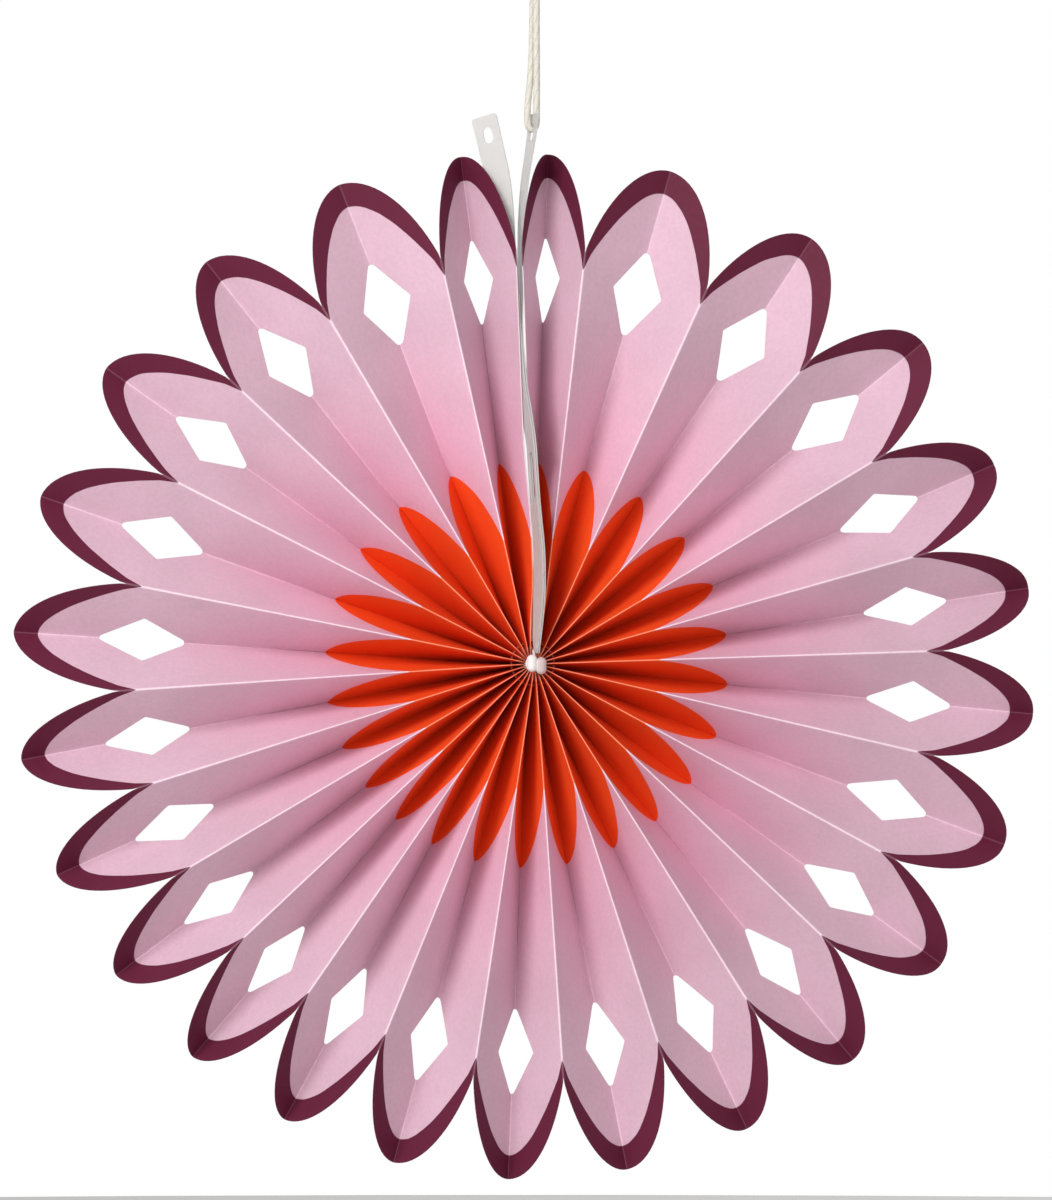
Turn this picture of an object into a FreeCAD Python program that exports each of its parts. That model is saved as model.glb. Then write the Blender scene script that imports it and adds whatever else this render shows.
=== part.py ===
import FreeCAD
import Part
import os
from math import asin, cos, degrees, pi, radians, sin, sqrt, tan

# Paper fan rosette: one pleated paper sheet opened to a full circle, closed by
# two clear end strips, tied at the centre and hung on a cord loop.
# Millimetres. +Z up, the front faces -Y, the origin is the top of the loop.

os.makedirs("parts", exist_ok=True)

# Driving sizes
FAN_DIAMETER = 300.0
LEAF_WIDTH = 21.5
PAPER = 0.25
INNER_RADIUS = 3.2
NOTCH_RADIUS = 120.4
HUB_DROP = 203.0
SEAM_ANGLE = -2.0
SEAM_GAP = 1.7
# Opening of each petal in degrees, clockwise from the seam at the top
OPENINGS = (9.2, 17.75, 17.5, 16.8, 15.0, 13.8, 14.65, 15.45, 14.9, 14.3,
            14.25, 14.15, 12.45, 13.55, 12.55, 12.2, 12.7, 13.1, 13.6, 14.8,
            15.85, 16.1, 16.35, 17.85, 10.95)

# Petal outline: an ellipse on the flat leaf, centred on the valley fold
ARCH_LENGTH = 37.5
ARCH_WIDTH = 22.0
NIB_HALF = 0.3
# Diamond cut on each valley fold
DIAMOND_INNER = 98.9
DIAMOND_WIDE = 113.1
DIAMOND_OUTER = 126.6
DIAMOND_SIDE = 0.427
DIAMOND_ROUND = 1.0

# Binding thread through the inner ends of the leaves, with its two-lobed knot
THREAD_DIAMETER = 0.7
THREAD_CLEAR = 0.25
THREAD_RING = 6.2
THREAD_DEPTH = 0.26 * LEAF_WIDTH
HUB_CHAMFER = 1.8
KNOT_GAP = 0.15
LOBE_WIDTH = 3.1
LOBE_HEIGHT = 5.0
LOBE_LEFT = (-0.9, -0.1)
LOBE_RIGHT = (1.75, -0.8)

# Clear end strips
STRIP_WIDTH = 8.0
STRIP_THICK = 0.4
STRIP_GAP = 0.15
STRIP_CORNER = 0.9
SLOT_LENGTH = 4.8
SLOT_WIDTH = 3.0
SLOT_EDGE = 3.3
HOOK_SLOT_LENGTH = 14.5
HOOK_SLOT_WIDTH = 4.2
HOOK_SLOT_PLACE = 0.446
# Each row of a strip: height as a share of the notch radius, width share,
# how far its front edge is right of the seam and ahead of the folds, its turn
# from edge-on in degrees and the drop of its back edge
STRIP_INNER = ((0.0233, 0.24, 0.62, 2.8, 10.0, 0.0),
               (0.044, 0.50, 0.78, 4.8, 13.0, 0.0),
               (0.094, 0.78, 1.50, 6.7, 13.5, 0.0),
               (0.18, 1.0, 2.46, 8.2, 13.5, 0.0),
               (0.265, 1.0, 2.70, 8.3, 13.0, 0.0),
               (0.388, 1.0, 1.80, 8.3, 9.5, 0.0),
               (0.515, 1.0, 1.35, 8.3, 9.0, 0.0),
               (0.60, 1.0, 0.74, 5.2, 11.0, 0.0),
               (0.685, 1.0, -0.02, 1.3, 10.0, 0.0),
               (0.79, 1.0, -0.31, -0.4, 9.0, 0.0))
STRIP_LEFT = ((0.90, 1.0, -0.40, -1.6, 22.0, 0.0),
              (0.99, 1.0, -0.55, -4.5, 42.0, 0.2),
              (1.08, 1.0, -0.50, -6.2, 51.0, 0.5),
              (1.16, 1.0, -0.90, -7.4, 55.0, 0.8),
              (1.26, 1.0, -2.75, -8.7, 55.0, 1.5),
              (1.336, 1.0, -4.40, -9.6, 56.0, 1.8))
STRIP_RIGHT = ((0.90, 1.0, 0.95, -2.4, 7.0, 0.0),
               (0.99, 1.0, 1.85, -4.2, 7.0, 0.0),
               (1.08, 1.0, 2.70, -5.4, 8.0, 0.0),
               (1.17, 1.0, 4.05, -5.1, 9.5, 0.0),
               (1.24, 1.0, 5.60, -3.9, 11.0, 0.0),
               (1.29, 1.0, 6.80, -3.7, 13.5, 0.0),
               (1.332, 1.0, 7.45, -3.6, 14.5, 0.0))

# Hanging cord: two strands up from the slot to the knot
CORD_DIAMETER = 2.0
CORD_SPREAD = 4.0
CORD_LINE = 1.3
KNOT_BORE = 0.1
KNOT_WIDTH = 6.2
KNOT_HEIGHT = 6.4

# Worked out from the sizes above
TIP_RADIUS = FAN_DIAMETER / 2.0
ARCH_CENTRE = TIP_RADIUS - ARCH_LENGTH
PETALS = len(OPENINGS)
CIRCLE = sum(OPENINGS)
MEAN_OPENING = 360.0 / PETALS
HALF_PAPER = PAPER / 2.0
REACH = TIP_RADIUS + 2.0
EASE_START = 0.87 * NOTCH_RADIUS
EASE_SPAN = 0.30 * NOTCH_RADIUS
STATIONS = (INNER_RADIUS, 8.0, 0.21 * NOTCH_RADIUS, 0.42 * NOTCH_RADIUS,
            0.62 * NOTCH_RADIUS, 0.81 * NOTCH_RADIUS, 0.95 * NOTCH_RADIUS,
            1.08 * NOTCH_RADIUS, REACH)


def direction(angle):
    return FreeCAD.Vector(sin(radians(angle)), 0.0, cos(radians(angle)))


def fold_angles():
    ridges = [SEAM_ANGLE]
    for opening in OPENINGS:
        ridges.append(ridges[-1] + opening * 360.0 / CIRCLE)
    valleys = []
    for k in range(PETALS):
        valleys.append(0.5 * (ridges[k] + ridges[k + 1]))
    return ridges, valleys


RIDGES, VALLEYS = fold_angles()


def seam_shift(k):
    # the two free edges stand half the seam gap to either side of the seam line
    side = FreeCAD.Vector(cos(radians(SEAM_ANGLE)), 0.0, -sin(radians(SEAM_ANGLE)))
    if k == 0:
        return side * (SEAM_GAP / 2.0)
    if k == PETALS:
        return side * (-SEAM_GAP / 2.0)
    return FreeCAD.Vector(0, 0, 0)


def hub_angle(step):
    # the folds stand evenly round the hub, apart from the gap at the seam
    gap = degrees(asin(SEAM_GAP / 2.0 / INNER_RADIUS))
    return SEAM_ANGLE + gap + step * (360.0 - 2.0 * gap) / PETALS


def fold_line(inner_angle, rim_angle, u, shift):
    inner = direction(inner_angle) * INNER_RADIUS
    rim = direction(rim_angle) * NOTCH_RADIUS + shift
    t = (u - INNER_RADIUS) / (NOTCH_RADIUS - INNER_RADIUS)
    return inner + (rim - inner) * t


def ridge_plan(k, u):
    return fold_line(hub_angle(k), RIDGES[k], u, seam_shift(k))


def valley_plan(k, u):
    return fold_line(hub_angle(k + 0.5), VALLEYS[k], u, FreeCAD.Vector(0, 0, 0))


def eased(u):
    # follows u up to the ease, then levels off so free petal tips stay flat
    if u <= EASE_START:
        return u
    t = min((u - EASE_START) / EASE_SPAN, 1.0)
    return EASE_START + EASE_SPAN * (t - 0.5 * t * t)


def leaf_chord(k, side, u):
    return (ridge_plan(k + side, u) - valley_plan(k, u)).Length


def petal_chord(k, u):
    return 0.5 * (leaf_chord(k, 0, u) + leaf_chord(k, 1, u))


def fold_depth(chord_here, chord_eased):
    return chord_here * sqrt(LEAF_WIDTH ** 2 - chord_eased ** 2) / chord_eased


def petal_depth(k, u):
    return fold_depth(petal_chord(k, u), petal_chord(k, eased(u)))


def mean_depth(u):
    half_step = 2.0 * sin(radians(MEAN_OPENING / 4.0))
    return fold_depth(half_step * u, half_step * eased(u))


def ridge_y(u):
    return mean_depth(min(u, NOTCH_RADIUS)) / 2.0 - mean_depth(u)


def valley_y(k, u):
    return ridge_y(u) + petal_depth(k, u)


def at_depth(plan, y):
    return FreeCAD.Vector(plan.x, y, plan.z)


def mitre(chord, u):
    return HALF_PAPER * LEAF_WIDTH / chord * u / eased(u)


def ridge_chord(k, u):
    chords = []
    if k > 0:
        chords.append(petal_chord(k - 1, u))
    if k < PETALS:
        chords.append(petal_chord(k, u))
    return sum(chords) / len(chords)


def under_crest_line(k):
    # the inner corner behind a ridge fold
    return [at_depth(ridge_plan(k, u), ridge_y(u) + mitre(ridge_chord(k, u), u))
            for u in STATIONS]


def over_root_line(k):
    # the inner corner in front of a valley fold
    return [at_depth(valley_plan(k, u), valley_y(k, u) - mitre(petal_chord(k, u), u))
            for u in STATIONS]


def leaf_skin_lines(k, side):
    # the outer corner beside the ridge and the one beside the valley
    front = []
    back = []
    for u in STATIONS:
        ridge = at_depth(ridge_plan(k + side, u), ridge_y(u))
        valley = at_depth(valley_plan(k, u), valley_y(k, u))
        plan = FreeCAD.Vector(valley.x - ridge.x, 0, valley.z - ridge.z)
        chord = plan.Length
        depth = valley.y - ridge.y
        size = sqrt(chord ** 2 + depth ** 2)
        across = plan.normalize() * (depth / size)
        normal = FreeCAD.Vector(across.x, -chord / size, across.z)
        front.append(ridge + normal * HALF_PAPER)
        back.append(valley - normal * HALF_PAPER)
    return front, back


def flat_face(corners):
    return Part.Face(Part.makePolygon(list(corners) + [corners[0]]))


def band(first, second):
    # flat triangles between two lines of stations; both skins of a leaf are
    # split the same way, ridge side first, so the paper keeps its thickness
    faces = []
    for i in range(len(first) - 1):
        faces.append(flat_face((first[i], first[i + 1], second[i + 1])))
        faces.append(flat_face((first[i], second[i + 1], second[i])))
    return faces


def pleated_blank():
    unders = [under_crest_line(k) for k in range(PETALS + 1)]
    overs = [over_root_line(k) for k in range(PETALS)]
    faces = []
    crest_sides = []
    root_sides = []
    for k in range(PETALS):
        for side in (0, 1):
            front, back = leaf_skin_lines(k, side)
            under = unders[k + side]
            faces += band(front, overs[k])
            faces += band(under, back)
            for end in (0, -1):
                faces.append(flat_face((front[end], overs[k][end], back[end], under[end])))
            crest_sides.append(front)
            root_sides.append(back)
    for k in range(1, PETALS):
        left = crest_sides[2 * k - 1]
        right = crest_sides[2 * k]
        faces += band(left, right)
        for end in (0, -1):
            faces.append(flat_face((left[end], unders[k][end], right[end])))
    for k in range(PETALS):
        left = root_sides[2 * k]
        right = root_sides[2 * k + 1]
        faces += band(left, right)
        for end in (0, -1):
            faces.append(flat_face((left[end], overs[k][end], right[end])))
    faces += band(crest_sides[0], unders[0])
    faces += band(crest_sides[-1], unders[PETALS])
    shell = Part.Shell(faces)
    shell.sewShape()
    return Part.makeSolid(Part.Shell(shell.Faces))


def outline_point(k, side, u, share):
    valley = valley_plan(k, u)
    return valley + (ridge_plan(k + side, u) - valley) * share


def arch_point(k, side, turn):
    # turn 0 is the tip; the ellipse is drawn on the flat leaf
    u = ARCH_CENTRE + ARCH_LENGTH * cos(turn)
    share = ARCH_WIDTH / LEAF_WIDTH * sin(turn) * NOTCH_RADIUS / u
    return outline_point(k, side, u, share)


def petal_arch(k):
    end = asin((LEAF_WIDTH - NIB_HALF) / ARCH_WIDTH)
    steps = 6
    left = [arch_point(k, 0, end * (steps - i) / steps) for i in range(steps)]
    right = [arch_point(k, 1, end * (i + 1) / steps) for i in range(steps)]
    points = left + [arch_point(k, 0, 0.0)] + right
    curve = Part.BSplineCurve()
    curve.interpolate(Points=points)
    return curve.toShape(), points[0], points[-1]


def rounded_wire(points, radius):
    # each corner is eased by two short flats that follow its radius
    edges = []
    count = len(points)
    ends = []
    for i in range(count):
        corner = points[i]
        back = (points[i - 1] - corner).normalize()
        ahead = (points[(i + 1) % count] - corner).normalize()
        half = back.getAngle(ahead) / 2.0
        reach = radius / tan(half)
        middle = (back + ahead).normalize() * (radius / sin(half) - radius)
        ends.append((corner + back * reach, corner + middle, corner + ahead * reach))
    for i in range(count):
        start, middle, finish = ends[i]
        edges.append(Part.LineSegment(start, middle).toShape())
        edges.append(Part.LineSegment(middle, finish).toShape())
        edges.append(Part.LineSegment(finish, ends[(i + 1) % count][0]).toShape())
    return Part.Wire(edges)


def diamond_wire(k):
    corners = [outline_point(k, 0, DIAMOND_INNER, 0.0),
               outline_point(k, 1, DIAMOND_WIDE, DIAMOND_SIDE),
               outline_point(k, 1, DIAMOND_OUTER, 0.0),
               outline_point(k, 0, DIAMOND_WIDE, DIAMOND_SIDE)]
    return rounded_wire(corners, DIAMOND_ROUND)


def flower_prism():
    edges = []
    last = None
    first = None
    for k in range(PETALS):
        arch, start, finish = petal_arch(k)
        if last is not None:
            edges.append(Part.LineSegment(last, start).toShape())
        else:
            first = start
        edges.append(arch)
        last = finish
    edges.append(Part.LineSegment(last, first).toShape())
    holes = [diamond_wire(k) for k in range(PETALS)]
    face = Part.Face([Part.Wire(edges)] + holes)
    depth = 2.0 * LEAF_WIDTH
    prism = face.extrude(FreeCAD.Vector(0, depth, 0))
    prism.translate(FreeCAD.Vector(0, -depth / 2.0, 0))
    return prism


def turned_cone(near_y, far_y, near_radius, far_radius):
    outline = Part.makePolygon([FreeCAD.Vector(0, near_y, 0),
                                FreeCAD.Vector(near_radius, near_y, 0),
                                FreeCAD.Vector(far_radius, far_y, 0),
                                FreeCAD.Vector(0, far_y, 0),
                                FreeCAD.Vector(0, near_y, 0)])
    return Part.Face(outline).revolve(FreeCAD.Vector(0, 0, 0), FreeCAD.Vector(0, 1, 0), 360)


def thread_ring():
    return Part.makeTorus(THREAD_RING, THREAD_DIAMETER / 2.0,
                          FreeCAD.Vector(0, -THREAD_DEPTH, 0), FreeCAD.Vector(0, 1, 0))


def needle_hole(k, side):
    # an eight-sided hole where the thread crosses a leaf
    u = THREAD_RING
    low = valley_y(k, u)
    share = (low + THREAD_DEPTH) / (low - ridge_y(u))
    plan = outline_point(k, side, u, share)
    radial = plan.normalize()
    centre = radial * THREAD_RING + FreeCAD.Vector(0, -THREAD_DEPTH, 0)
    depthwise = FreeCAD.Vector(0, 1, 0)
    along = radial.cross(depthwise)
    corner = (THREAD_DIAMETER / 2.0 + THREAD_CLEAR) / cos(radians(22.5))
    points = []
    for i in range(8):
        turn = radians(22.5 + 45.0 * i)
        points.append(centre - along * PAPER + radial * (corner * cos(turn))
                      + depthwise * (corner * sin(turn)))
    return flat_face(points).extrude(along * (2.0 * PAPER))


def pleated_sheet():
    sheet = pleated_blank().common(flower_prism())
    face_y = LEAF_WIDTH / 2.0 + PAPER
    wide = INNER_RADIUS + 2.0 * HUB_CHAMFER
    cutters = [needle_hole(k, side) for k in range(PETALS) for side in (0, 1)]
    for sign in (-1, 1):
        cutters.append(turned_cone(sign * (face_y + HUB_CHAMFER), sign * (face_y - HUB_CHAMFER),
                                   wide, INNER_RADIUS))
    return sheet.cut(cutters)


def round_lobe(centre, width, height):
    # an upright round-ended lobe
    radius = width / 2.0
    level = height / 2.0 - radius
    slant = radius * sqrt(0.5)
    low = FreeCAD.Vector(0, 0, -height / 2.0)
    high = FreeCAD.Vector(0, 0, height / 2.0)
    lower = FreeCAD.Vector(radius, 0, -level)
    upper = FreeCAD.Vector(radius, 0, level)
    edges = [Part.Arc(low, FreeCAD.Vector(slant, 0, -level - slant), lower).toShape(),
             Part.LineSegment(lower, upper).toShape(),
             Part.Arc(upper, FreeCAD.Vector(slant, 0, level + slant), high).toShape(),
             Part.LineSegment(high, low).toShape()]
    shape = Part.Face(Part.Wire(edges)).revolve(FreeCAD.Vector(0, 0, 0),
                                                FreeCAD.Vector(0, 0, 1), 360)
    shape.translate(centre)
    return shape


def bent_tube(points, diameter):
    # straight runs joined by tangent arcs
    edges = []
    here = points[0]
    radii = []
    for i in range(1, len(points) - 1):
        back = points[i - 1] - points[i]
        ahead = points[i + 1] - points[i]
        half_turn = (pi - back.getAngle(ahead)) / 2.0
        reach = 0.45 * min(back.Length, ahead.Length)
        radius = reach / tan(half_turn)
        radii.append(round(radius, 2))
        back.normalize()
        ahead.normalize()
        start = points[i] + back * reach
        finish = points[i] + ahead * reach
        middle = points[i] + (back + ahead).normalize() * (radius / cos(half_turn) - radius)
        edges.append(Part.LineSegment(here, start).toShape())
        edges.append(Part.Arc(start, middle, finish).toShape())
        here = finish
    edges.append(Part.LineSegment(here, points[-1]).toShape())
    path = Part.Wire(edges)
    ring = Part.Wire([Part.makeCircle(diameter / 2.0, points[0], points[1] - points[0])])
    tube = path.makePipeShell([ring], True, False)
    print("radii", radii, "length", round(path.Length, 2),
          "volume share", round(tube.Volume / (pi * diameter ** 2 / 4.0 * path.Length), 4))
    return tube


def centre_tie():
    crest = LEAF_WIDTH / 2.0 + 0.6 * PAPER
    knot_y = -(crest + KNOT_GAP + LOBE_WIDTH / 2.0)
    left = round_lobe(FreeCAD.Vector(LOBE_LEFT[0], knot_y, LOBE_LEFT[1]), LOBE_WIDTH, LOBE_HEIGHT)
    right = round_lobe(FreeCAD.Vector(LOBE_RIGHT[0], knot_y, LOBE_RIGHT[1]), LOBE_WIDTH, LOBE_HEIGHT)
    lean = tan(radians(SEAM_ANGLE))
    route = [(THREAD_RING, THREAD_DEPTH), (0.78 * THREAD_RING, THREAD_DEPTH + 2.2),
             (0.42 * THREAD_RING, THREAD_DEPTH + 4.6), (0.0, -knot_y)]
    tail = bent_tube([FreeCAD.Vector(z * lean, -y, z) for z, y in route], THREAD_DIAMETER)
    return thread_ring().fuse([tail, left, right])


def crest_y(height):
    return ridge_y(min(height, NOTCH_RADIUS))


def strip_edges(row, layer):
    share, width_share, shift, ahead, turn, drop = row
    height = share * NOTCH_RADIUS
    seam_x = height * tan(radians(SEAM_ANGLE))
    width = STRIP_WIDTH * width_share
    back = FreeCAD.Vector(-sin(radians(turn)), cos(radians(turn)), 0) * width
    normal = FreeCAD.Vector(cos(radians(turn)), sin(radians(turn)), 0)
    front = FreeCAD.Vector(seam_x + shift, crest_y(height) - ahead, height)
    front = front + normal * (layer * (STRIP_THICK + STRIP_GAP))
    rear = front + back + FreeCAD.Vector(0, 0, -drop)
    return front, rear, normal


def even_slope(before, after):
    # levels off where a column turns back, so the smooth line never overshoots
    if before * after <= 0.0:
        return 0.0
    return 2.0 * before * after / (before + after)


def smooth_rows(rows, layers):
    # two more rows between each pair, on a smooth line through the table's rows
    values = [tuple(row) + (float(layer),) for row, layer in zip(rows, layers)]
    below = tuple(2.0 * a - b for a, b in zip(values[0], values[1]))
    above = tuple(2.0 * a - b for a, b in zip(values[-1], values[-2]))
    values = [below] + values + [above]
    table = [values[1]]
    for i in range(1, len(values) - 2):
        for j in (1, 2, 3):
            t = j / 3.0
            row = []
            for before, a, b, after in zip(values[i - 1], values[i], values[i + 1], values[i + 2]):
                leave = even_slope(a - before, b - a)
                arrive = even_slope(b - a, after - b)
                row.append(a + leave * (t - 2.0 * t * t + t ** 3) + arrive * (t ** 3 - t * t)
                           + (b - a) * (3.0 * t * t - 2.0 * t ** 3))
            table.append(tuple(row))
    return [row[:-1] for row in table], [row[-1] for row in table]


def strip_solid(rows, layers):
    sections = []
    half = STRIP_THICK / 2.0
    for row, layer in zip(rows, layers):
        front, rear, normal = strip_edges(row, layer)
        corners = [front + normal * half, rear + normal * half,
                   rear - normal * half, front - normal * half]
        sections.append(Part.makePolygon(corners + [corners[0]]))
    return Part.makeLoft(sections, True, True)


def slot_cutter(rows, layers, place, length, width):
    # place is a height share; the cutter lies square to the strip there
    for i in range(len(rows) - 1):
        if rows[i][0] <= place <= rows[i + 1][0]:
            t = (place - rows[i][0]) / (rows[i + 1][0] - rows[i][0])
            low = strip_edges(rows[i], layers[i])
            high = strip_edges(rows[i + 1], layers[i + 1])
    low_mid = (low[0] + low[1]) * 0.5
    high_mid = (high[0] + high[1]) * 0.5
    centre = low_mid + (high_mid - low_mid) * t
    along = (high_mid - low_mid).normalize()
    normal = (low[2] * (1.0 - t) + high[2] * t).normalize()
    across = along.cross(normal).normalize()
    normal = across.cross(along).normalize()
    straight = (length - width) / 2.0
    half = width / 2.0
    start = centre - normal * (4.0 * STRIP_THICK)
    corner = [start + along * straight + across * half,
              start + along * (straight + half),
              start + along * straight - across * half,
              start - along * straight - across * half,
              start - along * (straight + half),
              start - along * straight + across * half]
    wire = Part.Wire([Part.Arc(corner[0], corner[1], corner[2]).toShape(),
                      Part.LineSegment(corner[2], corner[3]).toShape(),
                      Part.Arc(corner[3], corner[4], corner[5]).toShape(),
                      Part.LineSegment(corner[5], corner[0]).toShape()])
    return Part.Face(wire).extrude(normal * (8.0 * STRIP_THICK)), centre, normal


def top_corner_edges(solid, rows, layers):
    front, rear, normal = strip_edges(rows[-1], layers[-1])
    found = []
    for edge in solid.Edges:
        middle = edge.valueAt((edge.FirstParameter + edge.LastParameter) / 2.0)
        if edge.Length < 1.5 * STRIP_THICK:
            if min((middle - front).Length, (middle - rear).Length) < STRIP_THICK:
                found.append(edge)
    return found


def end_strip(table, table_layers):
    rows, layers = smooth_rows(table, table_layers)
    solid = strip_solid(rows, layers)
    solid = solid.makeFillet(STRIP_CORNER, top_corner_edges(solid, rows, layers))
    top = rows[-1][0] - (SLOT_EDGE + SLOT_LENGTH / 2.0) / NOTCH_RADIUS
    top_slot, centre, normal = slot_cutter(rows, layers, top, SLOT_LENGTH, SLOT_WIDTH)
    hook_slot = slot_cutter(rows, layers, HOOK_SLOT_PLACE, HOOK_SLOT_LENGTH, HOOK_SLOT_WIDTH)[0]
    return solid.cut(top_slot).cut(hook_slot), centre, normal


def cord_route(slot_centre, slot_normal):
    # down the front strand, through the slot and up the rear strand
    across = FreeCAD.Vector(slot_normal.x, slot_normal.y, 0).normalize()
    bottom = slot_centre.z + SLOT_LENGTH / 2.0 - CORD_DIAMETER / 2.0 - 0.3
    centre = FreeCAD.Vector(slot_centre.x, slot_centre.y, 0)
    right = centre + across * (CORD_SPREAD / 2.0)
    left = centre - across * (CORD_SPREAD / 2.0)
    top = HUB_DROP - KNOT_HEIGHT * 0.75
    rise = top - bottom
    near = CORD_DIAMETER * 0.62
    return [FreeCAD.Vector(CORD_LINE + 0.35, -near, top),
            FreeCAD.Vector(CORD_LINE + 0.25, -near - 0.1, bottom + 0.72 * rise),
            FreeCAD.Vector(CORD_LINE + 0.40, -near + 0.2, bottom + 0.41 * rise),
            FreeCAD.Vector(right.x, right.y, bottom + 0.16 * rise),
            FreeCAD.Vector(right.x, right.y, bottom) - across * 0.15,
            FreeCAD.Vector(left.x, left.y, bottom) + across * 0.15,
            FreeCAD.Vector(left.x, left.y, bottom + 0.16 * rise),
            FreeCAD.Vector(CORD_LINE - 0.95, near - 0.2, bottom + 0.41 * rise),
            FreeCAD.Vector(CORD_LINE - 0.75, near + 0.1, bottom + 0.72 * rise),
            FreeCAD.Vector(CORD_LINE - 0.35, near, top)]


def hanging_knot(route):
    # the cord's two ends enter the knot from below, each in a bore of its own
    middle = FreeCAD.Vector(CORD_LINE, 0, HUB_DROP - KNOT_HEIGHT / 2.0)
    bores = []
    for end, before in ((route[0], route[1]), (route[-1], route[-2])):
        way = (end - before).normalize()
        start = end - way * KNOT_HEIGHT
        bores.append(Part.makeCylinder(CORD_DIAMETER / 2.0 + KNOT_BORE,
                                       KNOT_HEIGHT + KNOT_BORE, start, way))
    return round_lobe(middle, KNOT_WIDTH, KNOT_HEIGHT).cut(bores)


def write_all():
    strip_left = STRIP_INNER + STRIP_LEFT
    strip_right = STRIP_INNER + STRIP_RIGHT
    left_layers = [0] * len(strip_left)
    right_layers = [1] * len(STRIP_INNER) + [0] * len(STRIP_RIGHT)
    left, slot, normal = end_strip(strip_left, left_layers)
    right, slot, normal = end_strip(strip_right, right_layers)
    route = cord_route(slot, normal)
    cord = bent_tube(route, CORD_DIAMETER)
    pieces = {"pleated_sheet": pleated_sheet(),
              "left_end_strip": left,
              "right_end_strip": right,
              "centre_tie": centre_tie(),
              "hanging_cord": cord,
              "hanging_knot": hanging_knot(route)}
    for name in pieces:
        shape = pieces[name]
        if len(shape.Solids) == 1:
            shape = shape.Solids[0]
        shape = shape.copy()
        shape.translate(FreeCAD.Vector(-CORD_LINE, 0, -HUB_DROP))
        print(name, shape.isValid(), len(shape.Solids), "faces", len(shape.Faces),
              "volume", round(shape.Volume, 2))
        shape.exportStep("parts/" + name + ".step")


write_all()
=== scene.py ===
"""Paper fan rosette: a pleated sheet opened to a full circle and hung on a cord loop.

Metres. +Z up, the front faces -Y, the origin is the top of the hanging knot.
"""

from math import asin, atan, cos, pi, radians, sin, sqrt

import bpy
import bmesh
from bpy.props import FloatProperty, FloatVectorProperty, PointerProperty
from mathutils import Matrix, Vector


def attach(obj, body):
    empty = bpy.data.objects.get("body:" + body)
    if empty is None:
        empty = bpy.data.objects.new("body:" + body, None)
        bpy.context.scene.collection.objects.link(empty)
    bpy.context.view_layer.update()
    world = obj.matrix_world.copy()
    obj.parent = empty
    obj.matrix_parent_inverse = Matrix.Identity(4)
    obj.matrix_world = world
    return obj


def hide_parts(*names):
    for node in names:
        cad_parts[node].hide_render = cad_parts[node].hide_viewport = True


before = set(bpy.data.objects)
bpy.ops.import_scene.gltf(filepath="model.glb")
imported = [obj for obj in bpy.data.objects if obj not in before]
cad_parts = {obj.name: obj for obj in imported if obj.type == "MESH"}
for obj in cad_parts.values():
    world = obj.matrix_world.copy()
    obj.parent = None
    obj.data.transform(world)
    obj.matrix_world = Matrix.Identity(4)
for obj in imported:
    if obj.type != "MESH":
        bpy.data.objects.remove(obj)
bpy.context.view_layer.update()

bl_info = {
    "name": "Paper Fan Rosette",
    "version": (1, 0, 0),
    "blender": (4, 5, 0),
    "location": "3D View > Sidebar > Rosette",
    "description": "Builds a hanging paper fan rosette and its studio",
    "category": "Object",
}

MM = 0.001
HUB = Vector((-1.3, 0.0, -203.0)) * MM
# Opening of each petal in degrees, clockwise from the seam at the top
OPENINGS = (9.2, 17.75, 17.5, 16.8, 15.0, 13.8, 14.65, 15.45, 14.9, 14.3,
            14.25, 14.15, 12.45, 13.55, 12.55, 12.2, 12.7, 13.1, 13.6, 14.8,
            15.85, 16.1, 16.35, 17.85, 10.95)
# The cord's route, down the front strand, through the slot and up the rear one
CORD_ROUTE = ((0.35, -1.24, -4.8), (0.25, -1.34, -16.68), (0.4, -1.04, -29.83),
              (0.46, -0.14, -40.44), (0.43, -0.15, -47.23), (-2.30, -0.80, -47.23),
              (-2.33, -0.81, -40.44), (-0.95, 0.90, -29.83), (-0.65, 1.30, -16.68),
              (-0.35, 1.24, -4.8))
# The cord's knot is a trefoil: its middle, half its height and its spread in millimetres
KNOT_MIDDLE = -3.2
KNOT_RISE = 2.1
KNOT_SPREAD = 0.68
KNOT_STEPS = 36
# How deep the groove between two plies is, as a share of the radius
CORD_GROOVE = 0.05
# An edge of a strip is sharp from this angle on
SHARP_ANGLE = radians(40.0)

# Leaves are joined where their points lie this near to each other
WELD = 0.00002
# Past this share of the notch radius a petal starts to level off, over this span
EASE_START = 0.87
EASE_SPAN = 0.30
# The left free edge leans over between these radii, rising and falling smoothly
LEAN_RISE = (0.008, 0.026)
LEAN_FALL = (0.036, 0.069)
# Powers that give the two printed outlines their roundness across a leaf
HUB_PRINT_ROUND = 1.68
RIM_PRINT_ROUND = 1.93
# Wear and a painted highlight along each fold fade between two distances from it, and their
# strength with them
RIDGE_WEAR_AND_HIGHLIGHT = (0.00016, 0.00046, 0.85, 0.0)
VALLEY_WEAR_AND_HIGHLIGHT = (0.00008, 0.00030, 0.45, 0.0)
BURGUNDY_WEAR_AND_HIGHLIGHT = 0.12
# Between these radii the lighter, more saturated pink painted in near the hub for bounce light
# between the folds turns into the plain pink
PAINTED_BOUNCE_FADE = (0.052, 0.112)
# Near the hub the cut paper shows through and fades between two radii
CORE_SHOWS = (0.0044, 0.0060, 0.6, 0.0)
# Where painted shade darkens the tie's ring between the folds, and where painted shade starts on
# its right lobe
TIE_PAINTED_FOLD_SHADE = (0.0042, 0.0050)
TIE_PAINTED_LOBE_SHADE = (0.0002, 0.0010)
# Half the softness of a printed outline and how far it wavers
PRINT_SOFT = 0.00015
PRINT_WAVER = 0.0006

# The picture's height in pixels and its scale give the camera's lens
PICTURE_HEIGHT = 1200.0
PIXELS_PER_MM = 3.44
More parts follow.
